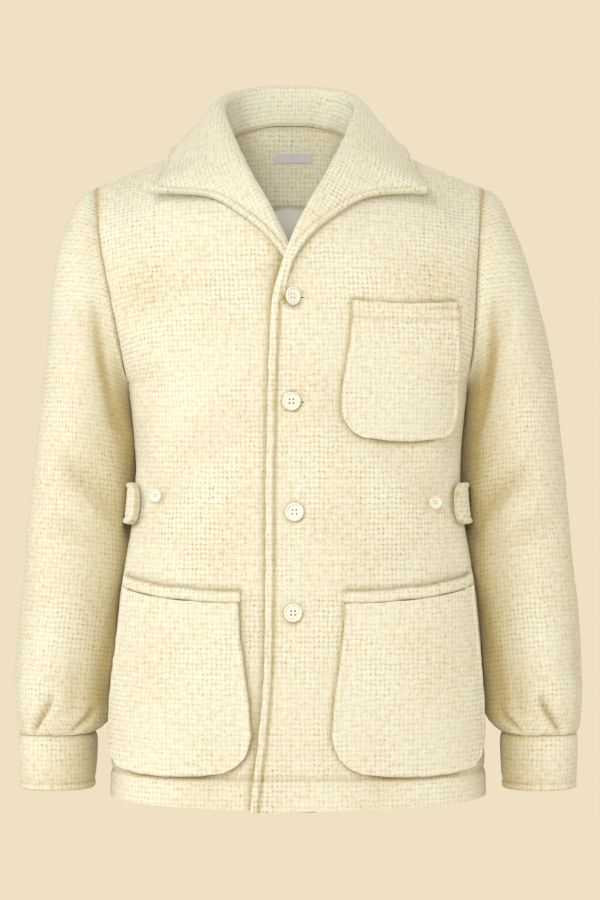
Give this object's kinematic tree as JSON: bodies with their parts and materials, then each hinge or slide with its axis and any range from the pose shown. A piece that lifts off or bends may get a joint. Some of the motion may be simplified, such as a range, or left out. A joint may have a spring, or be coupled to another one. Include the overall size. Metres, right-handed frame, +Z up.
{
  "type": "tweed jacket",
  "caption": "Boxy hip-length tweed jacket in rigid cloth, hollow and filled out, with a wide folded collar, patch pockets and open neck, cuffs and hem.",
  "frame": {"origin": "midway between the two side neck points, level with the tops of the shoulder seams, where the wearer's neck and shoulders hold the jacket", "axes": "+Z up the body, -Y out of the front, +X towards the wearer's left"},
  "size_m": [0.5978, 0.2513, 0.7611],
  "materials": {
    "cream_tweed": "matt, open basket-like weave of thick fuzzy wool yarn",
    "lining_satin": "smooth satin lining",
    "label_satin": "smooth woven satin",
    "button_resin": "off-white, softly polished"
  },
  "bodies": {
    "root": {"front_left": "cream_tweed", "front_right": "cream_tweed", "back": "cream_tweed", "collar": "cream_tweed", "back_neck_facing": "cream_tweed", "lining_back": "lining_satin", "neck_label": "label_satin", "sleeve_left": "cream_tweed", "sleeve_right": "cream_tweed", "cuff_left": "cream_tweed", "cuff_right": "cream_tweed", "chest_pocket": "cream_tweed", "lower_pocket_left": "cream_tweed", "lower_pocket_right": "cream_tweed", "pocket_band_left": "cream_tweed", "pocket_band_right": "cream_tweed", "side_tab_left": "cream_tweed", "side_tab_right": "cream_tweed", "front_button_1": "button_resin", "front_button_2": "button_resin", "front_button_3": "button_resin", "front_button_4": "button_resin", "tab_button_left": "button_resin", "tab_button_right": "button_resin"}
  },
  "joints": []
}
